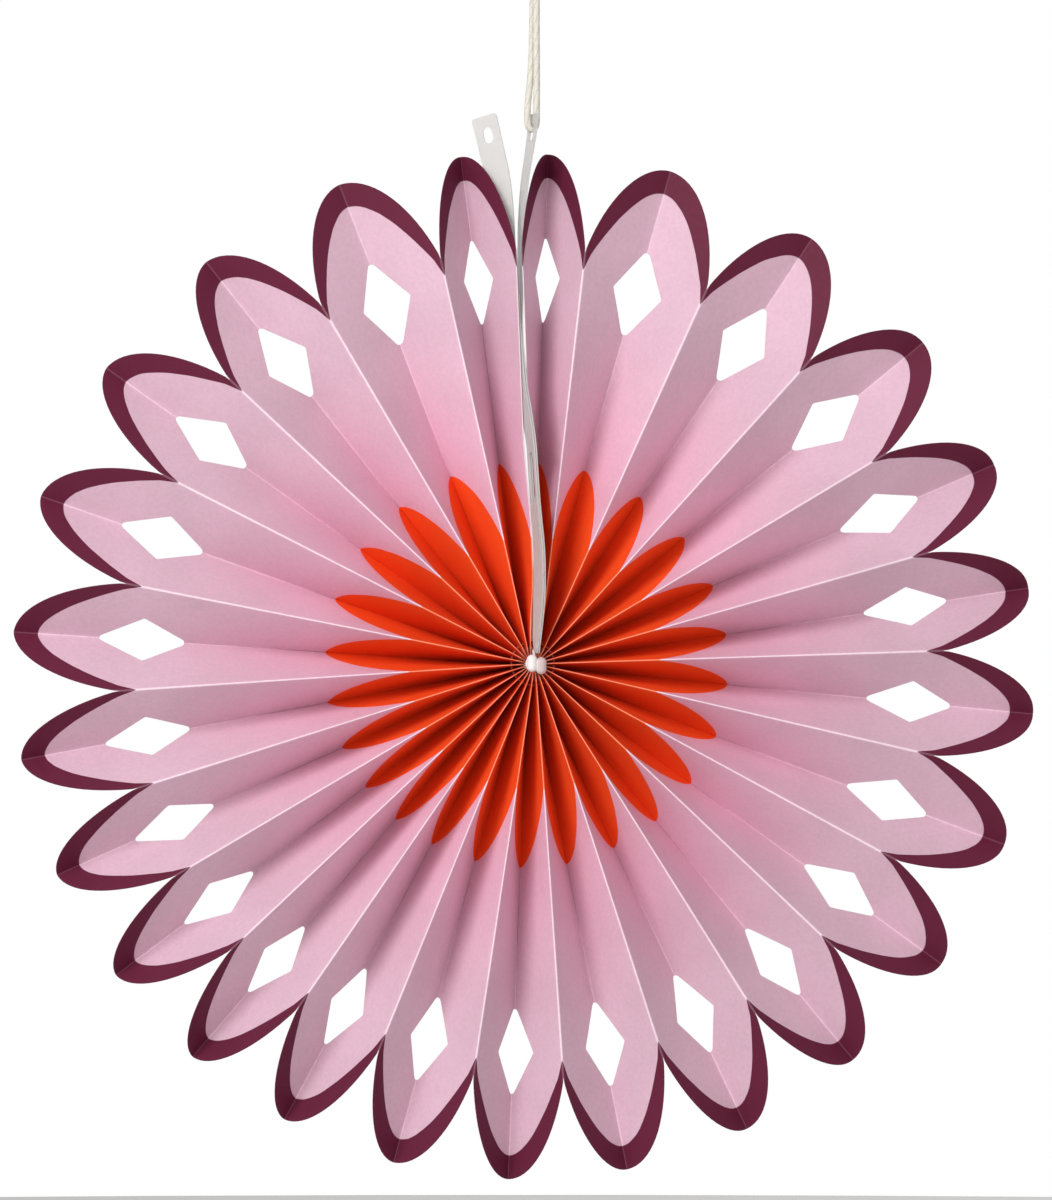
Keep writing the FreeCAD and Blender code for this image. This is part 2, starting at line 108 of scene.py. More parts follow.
# Turn and rise in degrees, distance in metres, aim across and above the hub in millimetres
CAMERA_TURN = -6.0
CAMERA_RISE = -2.0
CAMERA_DISTANCE = 2.0
CAMERA_AIM = (-1.32, 18.6)
# Name, place from the hub, size and power of each lamp
LAMPS = (("key", (-1.1, -1.5, 0.9), 1.0, 30.0),
         ("fill", (0.3, -2.4, 0.2), 0.8, 11.5),
         ("back", (0.8, 1.9, 0.9), 1.0, 10.0))
WORLD_COLOUR = (1.0, 0.985, 0.97, 1.0)
WORLD_LIGHT = 0.42
FLOOR_RADIUS = 2.2
FLOOR_HEIGHT = -0.47
FLOOR_SIDES = 96


def length(name, value, about):
    return FloatProperty(name=name, default=value, description=about,
                         unit="LENGTH", subtype="DISTANCE", precision=5)


def colour(name, value, about):
    return FloatVectorProperty(name=name, default=value, description=about,
                               subtype="COLOR", size=3, min=0.0, max=1.0)


class RosetteSizes(bpy.types.PropertyGroup):
    """Sizes of the rosette's pieces"""

    tip_radius: length("Tip Radius", 0.150, "From the hub's middle to a petal's tip")
    leaf_width: length("Leaf Width", 0.0215, "Width of a leaf between its two folds")
    paper: length("Paper", 0.00025, "Thickness of the paper")
    hub_radius: length("Hub Radius", 0.0032, "Where the fold lines start at the hub")
    inner_end: length("Inner End", 0.0022, "Inner end of the leaves")
    notch_radius: length("Notch Radius", 0.1204, "Where two petals part")
    seam_angle: FloatProperty(name="Seam Angle", default=radians(-2.0), subtype="ANGLE",
                              description="Turn of the seam from straight up")
    seam_gap: length("Seam Gap", 0.0017, "Between the two free edges at the rim")
    seam_lean: length("Seam Lean", 0.0013, "How far the left free edge leans to the strips")
    arch_length: length("Arch Length", 0.0375, "Half length of a petal's rounded outline")
    arch_width: length("Arch Width", 0.022, "Half width of a petal's rounded outline")
    hub_chamfer: length("Hub Chamfer", 0.0018, "Slanted cut at the leaves' inner ends")
    fold_round: length("Fold Rounding", 0.0005, "Width of the bend at a fold")
    diamond_inner: length("Diamond Inner", 0.0989, "Inner corner of a diamond")
    diamond_wide: length("Diamond Wide", 0.1131, "Widest place of a diamond")
    diamond_outer: length("Diamond Outer", 0.1266, "Outer corner of a diamond")
    diamond_side: FloatProperty(name="Diamond Side", default=0.427, subtype="FACTOR",
                                description="How far a diamond reaches across a leaf")
    diamond_round: length("Diamond Rounding", 0.001, "Corner radius of a diamond")
    strip_edge: length("Strip Edge", 0.00008, "Rounding along the edges of the clear strips")
    cord: length("Cord", 0.002, "Diameter of the hanging cord")
    cord_lay: length("Cord Lay", 0.016, "Length of one turn of the cord's plies")
    hub_print: length("Hub Print", 0.0594, "Reach of the orange print along a valley fold")
    hub_print_bow: length("Hub Print Bow", 0.023, "How much less it reaches along a ridge fold")
    rim_print: length("Rim Print", 0.1430, "Where the edge print starts on a valley fold")
    rim_print_bow: length("Rim Print Bow", 0.0278, "How much further in it starts on a ridge fold")


class RosetteColours(bpy.types.PropertyGroup):
    """Colours of the rosette's finishes"""

    burgundy: colour("Burgundy", (0.110, 0.011, 0.034), "Print at the petal edges")
    pink: colour("Pink", (0.620, 0.408, 0.495), "Outer part of the middle band")
    # Painted bounce light: a lighter, more saturated pink near the hub stands in for light bounced
    # between the folds
    bounce_lit_pink: colour("Bounce Lit Pink", (0.740, 0.415, 0.530), "Inner part of the middle band")
    orange: colour("Orange", (0.840, 0.082, 0.013), "Print round the hub")
    # Crease colours: partly worn ink, partly a painted highlight along the rounded folds
    pink_crease_wear_and_highlight: colour("Pink Crease Wear And Highlight", (0.840, 0.660, 0.740), "Worn fold in the middle band")
    orange_crease_wear_and_highlight: colour("Orange Crease Wear And Highlight", (0.960, 0.300, 0.180), "Worn fold round the hub")
    paper_core: colour("Paper Core", (0.800, 0.330, 0.220), "Cut paper at the hub")
    strip: colour("Strip", (0.700, 0.680, 0.665), "Clear end strips")
    thread: colour("Thread", (0.760, 0.735, 0.725), "Binding thread")
    # Painted shade: the knot's right lobe is darker and pinker
    thread_shade: colour("Thread Shade", (0.560, 0.450, 0.440), "Right lobe of the thread's knot")
    # Painted shade: dark red where the thread runs between the folds, also used for the thread's
    # grain specks
    thread_fold_shade_and_speck: colour("Thread Fold Shade And Speck", (0.330, 0.060, 0.035), "Thread between the folds")
    cord: colour("Cord", (0.640, 0.605, 0.530), "Hanging cord")
    floor: colour("Floor", (0.800, 0.800, 0.800), "Studio floor")


# Node tools


def new_tree(name, kind, inputs, outputs):
    tree = bpy.data.node_groups.new(name, kind)
    for socket, socket_type, default in inputs:
        made = tree.interface.new_socket(socket, in_out="INPUT", socket_type=socket_type)
        if default is not None:
            made.default_value = default
    for socket, socket_type in outputs:
        tree.interface.new_socket(socket, in_out="OUTPUT", socket_type=socket_type)
    return tree, tree.nodes.new("NodeGroupInput"), tree.nodes.new("NodeGroupOutput")


def plug(tree, socket, value):
    if isinstance(value, bpy.types.NodeSocket):
        tree.links.new(value, socket)
    elif value is not None:
        socket.default_value = value


def math(tree, operation, *values, clamp=False):
    node = tree.nodes.new("ShaderNodeMath")
    node.operation = operation
    node.use_clamp = clamp
    for socket, value in zip(node.inputs, values):
        plug(tree, socket, value)
    return node.outputs[0]


def vector_math(tree, operation, *values, scale=None):
    node = tree.nodes.new("ShaderNodeVectorMath")
    node.operation = operation
    for socket, value in zip(node.inputs, values):
        plug(tree, socket, value)
    if scale is not None:
        plug(tree, node.inputs["Scale"], scale)
    return node.outputs["Value" if operation == "LENGTH" else "Vector"]


def use_group(tree, group, **values):
    kind = "GeometryNodeGroup" if tree.bl_idname == "GeometryNodeTree" else "ShaderNodeGroup"
    node = tree.nodes.new(kind)
    node.node_tree = group
    for name, value in values.items():
        plug(tree, node.inputs[name.replace("_", " ").title()], value)
    return node


def read_attribute(tree, name, kind):
    node = tree.nodes.new("GeometryNodeInputNamedAttribute")
    node.data_type = kind
    node.inputs["Name"].default_value = name
    return node.outputs["Attribute"]


def move_points(tree, geometry, place):
    node = tree.nodes.new("GeometryNodeSetPosition")
    plug(tree, node.inputs["Geometry"], geometry)
    plug(tree, node.inputs["Position"], place)
    return node.outputs["Geometry"]


def store_value(tree, geometry, name, value):
    node = tree.nodes.new("GeometryNodeStoreNamedAttribute")
    node.data_type = "FLOAT"
    node.domain = "POINT"
    node.inputs["Name"].default_value = name
    plug(tree, node.inputs["Geometry"], geometry)
    plug(tree, node.inputs["Value"], value)
    return node.outputs["Geometry"]


def finish_geometry(tree, end, geometry, material):
    """Gives the geometry its material and sends it out of the group."""
    node = tree.nodes.new("GeometryNodeSetMaterial")
    plug(tree, node.inputs["Geometry"], geometry)
    plug(tree, node.inputs["Material"], material)
    plug(tree, end.inputs["Geometry"], node.outputs["Geometry"])


def set_inputs(modifier, tree, values):
    for item in tree.interface.items_tree:
        if item.item_type == "SOCKET" and item.in_out == "INPUT" and item.name in values:
            modifier[item.identifier] = values[item.name]


# Fold geometry


def plan_direction(angle):
    return Vector((sin(angle), 0.0, cos(angle)))


def fold_ends(sizes):
    # inner and rim points of each ridge and each valley, seen from the front
    petals = len(OPENINGS)
    rims = [sizes.seam_angle]
    for opening in OPENINGS:
        rims.append(rims[-1] + opening * 2.0 * pi / sum(OPENINGS))
    gap = asin(sizes.seam_gap / 2.0 / sizes.hub_radius)
    step = (2.0 * pi - 2.0 * gap) / petals
    first = sizes.seam_angle + gap
    side = Vector((cos(sizes.seam_angle), 0.0, -sin(sizes.seam_angle))) * sizes.seam_gap / 2.0
    shifts = {0: side, petals: -side}
    ridges = []
    for k in range(petals + 1):
        inner = plan_direction(first + k * step) * sizes.hub_radius
        rim = plan_direction(rims[k]) * sizes.notch_radius + shifts.get(k, Vector())
        ridges.append((inner, rim))
    valleys = []
    for k in range(petals):
        inner = plan_direction(first + (k + 0.5) * step) * sizes.hub_radius
        rim = plan_direction(0.5 * (rims[k] + rims[k + 1])) * sizes.notch_radius
        valleys.append((inner, rim))
    return ridges, valleys


# A sheet with fewer faces than this has lost its leaves
LEAST_FACES = 1000
# Steps round a diamond's rounded corner
CORNER_STEPS = 80
# Rows of points along a leaf: near the hub, up to a diamond, in each half of it, at the tip
HUB_ROWS = 7
HUB_ROW_STEP = 0.0004
PLAIN_ROWS = 18
DIAMOND_ROWS = 11
DIAMOND_MARGIN = 0.0014
TIP_ROWS = 16
TIP_TRIM = 0.00002


def diamond_half(sizes, along):
    # half width of a rounded diamond on a leaf of the mean opening
    chord = 2.0 * sin(pi / len(OPENINGS) / 2.0) * sizes.diamond_wide
    half = sizes.diamond_side * chord
    inner_slope = half / (sizes.diamond_wide - sizes.diamond_inner)
    outer_slope = half / (sizes.diamond_outer - sizes.diamond_wide)
    inner = sizes.diamond_inner + sizes.diamond_round / sin(atan(inner_slope))
    outer = sizes.diamond_outer - sizes.diamond_round / sin(atan(outer_slope))
    widest = 0.0
    for i in range(CORNER_STEPS + 1):
        reach = sizes.diamond_round * sin(pi * (i / CORNER_STEPS - 0.5))
        place = along + reach
        if inner <= place <= outer:
            inset = min(inner_slope * (place - inner), outer_slope * (outer - place))
            rise = sqrt(max(sizes.diamond_round ** 2 - reach ** 2, 0.0))
            widest = max(widest, inset + rise)
    return widest / chord * sizes.diamond_wide / along


def across_limits(sizes, along):
    # where the paper begins and ends across a leaf, from valley 0 to ridge 1
    low = diamond_half(sizes, along)
    high = 1.0
    if along > sizes.notch_radius:
        centre = sizes.tip_radius - sizes.arch_length
        part = max(1.0 - ((along - centre) / sizes.arch_length) ** 2, 0.0)
        high = sizes.arch_width / sizes.leaf_width * sqrt(part) * sizes.notch_radius / along
    slant = (sizes.hub_chamfer - (along - sizes.hub_radius)) / sizes.leaf_width
    if slant > 0.0:
        low = slant
        high = 1.0 - slant
    return low, min(high, 1.0)


def leaf_rows(sizes):
    rows = [sizes.inner_end + HUB_ROW_STEP * i for i in range(HUB_ROWS)]
    start = rows[-1]
    reach = sizes.diamond_inner + DIAMOND_MARGIN - start
    rows += [start + reach * (i / PLAIN_ROWS) for i in range(1, PLAIN_ROWS)]
    inner = sizes.diamond_inner + sizes.diamond_round * 1.5
    outer = sizes.diamond_outer - sizes.diamond_round * 1.4
    middle = sizes.diamond_wide
    for low, high in ((inner, middle), (middle, outer)):
        for i in range(DIAMOND_ROWS):
            rows.append(0.5 * (low + high) - 0.5 * (high - low) * cos(pi * i / DIAMOND_ROWS))
    end = sizes.tip_radius - TIP_TRIM
    for i in range(TIP_ROWS + 1):
        rows.append(outer + (end - outer) * sin(pi / 2.0 * i / TIP_ROWS))
    return rows


LEAF_COLUMNS = (0.0, 0.009, 0.022, 0.06, 0.16, 0.30, 0.44, 0.58, 0.72, 0.85, 0.94,
                0.978, 0.991, 1.0)


def leaf_pattern(sizes):
    """One flat leaf as a grid that carries its own two coordinates."""
    mesh = bpy.data.meshes.new("leaf_pattern")
    rows = leaf_rows(sizes)
    columns = len(LEAF_COLUMNS)
    points = []
    for along in rows:
        low, high = across_limits(sizes, along)
        for share in LEAF_COLUMNS:
            points.append((low + (high - low) * share, along, 0.0))
    faces = []
    for i in range(len(rows) - 1):
        for j in range(columns - 1):
            first = i * columns + j
            faces.append((first, first + 1, first + columns + 1, first + columns))
    mesh.from_pydata(points, [], faces)
    across = mesh.attributes.new("across", "FLOAT", "POINT")
    along = mesh.attributes.new("along", "FLOAT", "POINT")
    across.data.foreach_set("value", [p[0] for p in points])
    along.data.foreach_set("value", [p[1] for p in points])
    return mesh


LEAF_VECTORS = ("valley_hub", "valley_rim", "ridge_hub", "ridge_rim", "other_hub", "other_rim",
                "lean")


def leaf_points(sizes):
    """One point for each leaf, with the ends of its folds."""
    ridges, valleys = fold_ends(sizes)
    petals = len(OPENINGS)
    values = {name: [] for name in LEAF_VECTORS}
    values["folded"] = []
    values["right_side"] = []
    for k in range(petals):
        for side in (0, 1):
            ends = (*valleys[k], *ridges[k + side], *ridges[k + 1 - side])
            lean = sizes.seam_lean if (k, side) == (petals - 1, 1) else 0.0
            for name, end in zip(LEAF_VECTORS, (*ends, (lean, 0.0, 0.0))):
                values[name] += list(end)
            free_edge = (k, side) in ((0, 0), (petals - 1, 1))
            values["folded"].append(0.0 if free_edge else 1.0)
            values["right_side"].append(float(side))
    mesh = bpy.data.meshes.new("pleated_sheet_visual")
    mesh.from_pydata([(0.0, 0.0, 0.0)] * (2 * petals), [], [])
    for name, data in values.items():
        vectors = name in LEAF_VECTORS
        made = mesh.attributes.new(name, "FLOAT_VECTOR" if vectors else "FLOAT", "POINT")
        made.data.foreach_set("vector" if vectors else "value", data)
    return mesh


def eased_radius_tree():
    tree, start, end = new_tree("Eased Radius", "GeometryNodeTree",
                                (("Radius", "NodeSocketFloat", 0.1),
                                 ("Notch Radius", "NodeSocketFloat", 0.12)),
                                (("Eased", "NodeSocketFloat"),))
    ease_start = math(tree, "MULTIPLY", start.outputs["Notch Radius"], EASE_START)
    span = math(tree, "MULTIPLY", start.outputs["Notch Radius"], EASE_SPAN)
    past = math(tree, "SUBTRACT", start.outputs["Radius"], ease_start)
    t = math(tree, "DIVIDE", past, span, clamp=True)
    half_square = math(tree, "MULTIPLY", math(tree, "MULTIPLY", t, t), 0.5)
    levelled = math(tree, "MULTIPLY", span, math(tree, "SUBTRACT", t, half_square))
    least = math(tree, "MINIMUM", start.outputs["Radius"], ease_start)
    plug(tree, end.inputs["Eased"], math(tree, "ADD", least, levelled))
    return tree


def fold_share(tree, start):
    # share of the way from the hub to the notches
    run = math(tree, "SUBTRACT", start.outputs["Radius"], start.outputs["Hub Radius"])
    whole = math(tree, "SUBTRACT", start.outputs["Notch Radius"], start.outputs["Hub Radius"])
    return math(tree, "DIVIDE", run, whole)


def fold_place_tree():
    tree, start, end = new_tree("Fold Place", "GeometryNodeTree",
                                (("Radius", "NodeSocketFloat", 0.1),
                                 ("Hub Radius", "NodeSocketFloat", 0.003),
                                 ("Notch Radius", "NodeSocketFloat", 0.12)),
                                (("Valley", "NodeSocketVector"), ("Ridge", "NodeSocketVector"),
                                 ("Chord", "NodeSocketFloat")))
    share = fold_share(tree, start)
    places = {}
    for fold in ("valley", "ridge", "other"):
        hub = read_attribute(tree, fold + "_hub", "FLOAT_VECTOR")
        rim = read_attribute(tree, fold + "_rim", "FLOAT_VECTOR")
        way = vector_math(tree, "SUBTRACT", rim, hub)
        part = vector_math(tree, "SCALE", way, scale=share)
        places[fold] = vector_math(tree, "ADD", hub, part)
    chords = []
    for fold in ("ridge", "other"):
        gap = vector_math(tree, "SUBTRACT", places[fold], places["valley"])
        chords.append(vector_math(tree, "LENGTH", gap))
    plug(tree, end.inputs["Valley"], places["valley"])
    plug(tree, end.inputs["Ridge"], places["ridge"])
    plug(tree, end.inputs["Chord"], math(tree, "MULTIPLY", math(tree, "ADD", *chords), 0.5))
    return tree


def fold_depth_tree():
    tree, start, end = new_tree("Fold Depth", "GeometryNodeTree",
                                (("Chord", "NodeSocketFloat", 0.01),
                                 ("Eased Chord", "NodeSocketFloat", 0.01),
                                 ("Leaf Width", "NodeSocketFloat", 0.02)),
                                (("Depth", "NodeSocketFloat"),))
    width = start.outputs["Leaf Width"]
    eased = start.outputs["Eased Chord"]
    square = math(tree, "SUBTRACT", math(tree, "MULTIPLY", width, width),
                  math(tree, "MULTIPLY", eased, eased))
    root = math(tree, "SQRT", math(tree, "MAXIMUM", square, 0.0))
    scaled = math(tree, "MULTIPLY", start.outputs["Chord"], root)
    plug(tree, end.inputs["Depth"], math(tree, "DIVIDE", scaled, eased))
    return tree


def bend_offset(tree, distance, width, depth):
    # how far a rounded fold stands back from a sharp one
    inside = math(tree, "MAXIMUM", math(tree, "SUBTRACT", width, distance), 0.0)
    square = math(tree, "MULTIPLY", inside, inside)
    part = math(tree, "DIVIDE", square, math(tree, "MULTIPLY", width, 2.0))
    return math(tree, "MULTIPLY", depth, part)


def pleated_fan_tree():
    """Folds one flat leaf pattern into every leaf of the fan."""
    eased_tree = eased_radius_tree()
    place_tree = fold_place_tree()
    depth_tree = fold_depth_tree()
    tree, start, end = new_tree("Pleated Fan", "GeometryNodeTree",
                                (("Geometry", "NodeSocketGeometry", None),
                                 ("Leaf Pattern", "NodeSocketObject", None),
                                 ("Leaf Width", "NodeSocketFloat", 0.0215),
                                 ("Hub Radius", "NodeSocketFloat", 0.0032),
                                 ("Notch Radius", "NodeSocketFloat", 0.1204),
                                 ("Mean Step", "NodeSocketFloat", 0.1256),
                                 ("Fold Rounding", "NodeSocketFloat", 0.0005),
                                 ("Hub Place", "NodeSocketVector", None),
                                 ("Material", "NodeSocketMaterial", None)),
                                (("Geometry", "NodeSocketGeometry"),))
    width = start.outputs["Leaf Width"]
    hub = start.outputs["Hub Radius"]
    notch = start.outputs["Notch Radius"]
    along = read_attribute(tree, "along", "FLOAT")
    across = read_attribute(tree, "across", "FLOAT")

    eased = use_group(tree, eased_tree, radius=along, notch_radius=notch).outputs[0]
    here = use_group(tree, place_tree, radius=along, hub_radius=hub, notch_radius=notch)
    there = use_group(tree, place_tree, radius=eased, hub_radius=hub, notch_radius=notch)
    petal_depth = use_group(tree, depth_tree, chord=here.outputs["Chord"],
                            eased_chord=there.outputs["Chord"], leaf_width=width).outputs[0]

    step = math(tree, "MULTIPLY", math(tree, "SINE", start.outputs["Mean Step"]), 2.0)
    inner = math(tree, "MINIMUM", along, notch)
    inner_eased = use_group(tree, eased_tree, radius=inner, notch_radius=notch).outputs[0]
    mean = []
    for radius, levelled in ((along, eased), (inner, inner_eased)):
        mean.append(use_group(tree, depth_tree, chord=math(tree, "MULTIPLY", radius, step),
                              eased_chord=math(tree, "MULTIPLY", levelled, step),
                              leaf_width=width).outputs[0])
    ridge_y = math(tree, "SUBTRACT", math(tree, "MULTIPLY", mean[1], 0.5), mean[0])

    from_ridge = math(tree, "SUBTRACT", 1.0, across)
    bend = math(tree, "DIVIDE", start.outputs["Fold Rounding"], width)
    folded = read_attribute(tree, "folded", "FLOAT")
    crest = math(tree, "MULTIPLY", bend_offset(tree, from_ridge, bend, mean[0]), folded)
    root = bend_offset(tree, across, bend, petal_depth)
    slope = math(tree, "MULTIPLY", petal_depth, from_ridge)
    depth = math(tree, "ADD", math(tree, "ADD", ridge_y, slope),
                 math(tree, "SUBTRACT", crest, root))
    way = vector_math(tree, "SUBTRACT", here.outputs["Ridge"], here.outputs["Valley"])
    plan = vector_math(tree, "ADD", here.outputs["Valley"],
                       vector_math(tree, "SCALE", way, scale=across))
    # the left free edge leans over to the strips between the hub and the middle
    lean = math(tree, "MULTIPLY", ramp(tree, along, *LEAN_RISE),
                ramp(tree, along, *LEAN_FALL, 1.0, 0.0))
    leaning = vector_math(tree, "SCALE", read_attribute(tree, "lean", "FLOAT_VECTOR"),
                          scale=math(tree, "MULTIPLY", lean, across))
    plan = vector_math(tree, "ADD", plan, leaning)
    back = tree.nodes.new("ShaderNodeCombineXYZ")
    plug(tree, back.inputs["Y"], depth)
    place = vector_math(tree, "ADD", vector_math(tree, "ADD", plan, back.outputs[0]),
                        start.outputs["Hub Place"])

    pattern = tree.nodes.new("GeometryNodeObjectInfo")
    plug(tree, pattern.inputs["Object"], start.outputs["Leaf Pattern"])
    copies = tree.nodes.new("GeometryNodeInstanceOnPoints")
    plug(tree, copies.inputs["Points"], start.outputs["Geometry"])
    plug(tree, copies.inputs["Instance"], pattern.outputs["Geometry"])
    real = tree.nodes.new("GeometryNodeRealizeInstances")
    plug(tree, real.inputs["Geometry"], copies.outputs["Instances"])
    turned = tree.nodes.new("GeometryNodeFlipFaces")
    plug(tree, turned.inputs["Mesh"], move_points(tree, real.outputs["Geometry"], place))
    left = math(tree, "LESS_THAN", read_attribute(tree, "right_side", "FLOAT"), 0.5)
    plug(tree, turned.inputs["Selection"], left)
    joined = tree.nodes.new("GeometryNodeMergeByDistance")
    plug(tree, joined.inputs["Geometry"], turned.outputs["Mesh"])
    plug(tree, joined.inputs["Distance"], WELD)
    finish_geometry(tree, end, joined.outputs["Geometry"], start.outputs["Material"])
    return tree


# Cord


def plied_cord_tree():
    """Sweeps a ring of plies along a line and turns it as it goes."""
    tree, start, end = new_tree("Plied Cord", "GeometryNodeTree",
                                (("Geometry", "NodeSocketGeometry", None),
                                 ("Diameter", "NodeSocketFloat", 0.002),
                                 ("Lay", "NodeSocketFloat", 0.01),
                                 ("Plies", "NodeSocketFloat", 3.0),
                                 ("Groove", "NodeSocketFloat", 0.12),
                                 ("Step", "NodeSocketFloat", 0.0005),
                                 ("Sides", "NodeSocketInt", 18),
                                 ("Material", "NodeSocketMaterial", None)),
                                (("Geometry", "NodeSocketGeometry"),))
    even = tree.nodes.new("GeometryNodeResampleCurve")
    even.mode = "LENGTH"
    plug(tree, even.inputs["Curve"], start.outputs["Geometry"])
    plug(tree, even.inputs["Length"], start.outputs["Step"])
    run = tree.nodes.new("GeometryNodeSplineParameter")
    turns = math(tree, "DIVIDE", run.outputs["Length"], start.outputs["Lay"])
    tilted = tree.nodes.new("GeometryNodeSetCurveTilt")
    plug(tree, tilted.inputs["Curve"], even.outputs["Curve"])
    plug(tree, tilted.inputs["Tilt"], math(tree, "MULTIPLY", turns, 2.0 * pi))
    kept = store_value(tree, tilted.outputs["Curve"], "run", run.outputs["Length"])

    ring = tree.nodes.new("GeometryNodeCurvePrimitiveCircle")
    ring.mode = "RADIUS"
    plug(tree, ring.inputs["Resolution"], start.outputs["Sides"])
    plug(tree, ring.inputs["Radius"], 1.0)
    around = tree.nodes.new("GeometryNodeSplineParameter")
    angle = math(tree, "MULTIPLY", around.outputs["Factor"], pi)
    wave = math(tree, "SINE", math(tree, "MULTIPLY", angle, start.outputs["Plies"]))
    lobes = math(tree, "ABSOLUTE", wave)
    groove = start.outputs["Groove"]
    bulge = math(tree, "ADD", math(tree, "SUBTRACT", 1.0, groove),
                 math(tree, "MULTIPLY", lobes, groove))
    plain_radius = math(tree, "MULTIPLY", start.outputs["Diameter"], 0.5)
    radius = math(tree, "MULTIPLY", plain_radius, bulge)
    spot = tree.nodes.new("GeometryNodeInputPosition")
    shaped = move_points(tree, ring.outputs["Curve"],
                         vector_math(tree, "SCALE", spot.outputs["Position"], scale=radius))
    # the ply crowns are kept for the yarn material, which paints shade into the grooves between
    # them
    marked = store_value(tree, shaped, "ply", lobes)

    swept = tree.nodes.new("GeometryNodeCurveToMesh")
    plug(tree, swept.inputs["Curve"], kept)
    plug(tree, swept.inputs["Profile Curve"], marked)
    plug(tree, swept.inputs["Fill Caps"], True)
    smooth = tree.nodes.new("GeometryNodeSetShadeSmooth")
    plug(tree, smooth.inputs["Geometry"], swept.outputs["Mesh"])
    real = tree.nodes.new("GeometryNodeRealizeInstances")
    plug(tree, real.inputs["Geometry"], smooth.outputs["Geometry"])
    finish_geometry(tree, end, real.outputs["Geometry"], start.outputs["Material"])
    return tree


def link(obj):
    bpy.context.scene.collection.objects.link(obj)
    return obj


def plain_mesh(obj, name):
    """The evaluated object as a plain mesh, in place of the object itself."""
    bpy.context.view_layer.update()
    graph = bpy.context.evaluated_depsgraph_get()
    mesh = bpy.data.meshes.new_from_object(obj.evaluated_get(graph))
    mesh.name = name
    bpy.data.objects.remove(obj)
    return link(bpy.data.objects.new(name, mesh))


def route_object(points, closed=False):
    """A smooth line guided by the given points, in metres."""
    curve = bpy.data.curves.new("route", "CURVE")
    curve.dimensions = "3D"
    curve.resolution_u = 16
    spline = curve.splines.new("NURBS")
    spline.points.add(len(points) - 1)
    for target, point in zip(spline.points, points):
        target.co = (*point, 1.0)
    spline.order_u = 3
    spline.use_cyclic_u = closed
    spline.use_endpoint_u = not closed
    return link(bpy.data.objects.new("route", curve))


def route_points(route):
    graph = bpy.context.evaluated_depsgraph_get()
    mesh = bpy.data.meshes.new_from_object(route.evaluated_get(graph))
    points = [tuple(v.co) for v in mesh.vertices]
    bpy.data.meshes.remove(mesh)
    return points


def plied(route, name, tree, material, **values):
    modifier = route.modifiers.new("Plied Cord", "NODES")
    modifier.node_group = tree
    inputs = {key.title(): value for key, value in values.items()}
    inputs["Material"] = material
    set_inputs(modifier, tree, inputs)
    return plain_mesh(route, name)


def named_tree(name, maker):
    found = bpy.data.node_groups.get(name)
    return found if found is not None else maker()


# Finishes


def shader_value(tree, name):
    node = tree.nodes.new("ShaderNodeAttribute")
    node.attribute_name = name
    return node.outputs["Fac"]


def object_place(tree):
    return tree.nodes.new("ShaderNodeTexCoord").outputs["Object"]


def noise(tree, place, scale, detail, roughness=0.5):
    node = tree.nodes.new("ShaderNodeTexNoise")
    for key, given in (("Vector", place), ("Scale", scale), ("Detail", detail),
                       ("Roughness", roughness)):
        plug(tree, node.inputs[key], given)
    return node.outputs["Fac"]


def ramp(tree, value, low, high, start=0.0, end=1.0):
    node = tree.nodes.new("ShaderNodeMapRange")
    node.interpolation_type = "SMOOTHSTEP"
    for key, given in (("Value", value), ("From Min", low), ("From Max", high),
                       ("To Min", start), ("To Max", end)):
        plug(tree, node.inputs[key], given)
    return node.outputs["Result"]


def blend_colours(tree, share, first, second, kind="MIX"):
    node = tree.nodes.new("ShaderNodeMix")
    node.data_type = "RGBA"
    node.blend_type = kind
    plug(tree, node.inputs[0], share)
    plug(tree, node.inputs[6], first)
    plug(tree, node.inputs[7], second)
    return node.outputs[2]


def toned(tree, base, tone):
    """The base colour made lighter or darker by a grey tone."""
    grey = tree.nodes.new("ShaderNodeCombineColor")
    for socket in ("Red", "Green", "Blue"):
        plug(tree, grey.inputs[socket], tone)
    return blend_colours(tree, 1.0, base, grey.outputs[0], "MULTIPLY")


def fibre_tree():
    """Fine uneven grain for paper and yarn."""
    tree, start, end = new_tree("Fibre Grain", "ShaderNodeTree",
                                (("Scale", "NodeSocketFloat", 900.0),
                                 ("Stretch", "NodeSocketVector", (1.0, 1.0, 1.0))),
                                (("Grain", "NodeSocketFloat"), ("Cloud", "NodeSocketFloat")))
    place = vector_math(tree, "MULTIPLY", object_place(tree), start.outputs["Stretch"])
    scale = start.outputs["Scale"]
    broad_scale = math(tree, "MULTIPLY", scale, 0.05)
    plug(tree, end.inputs["Grain"], noise(tree, place, scale, 5.0))
    plug(tree, end.inputs["Cloud"], noise(tree, place, broad_scale, 2.0))
    return tree


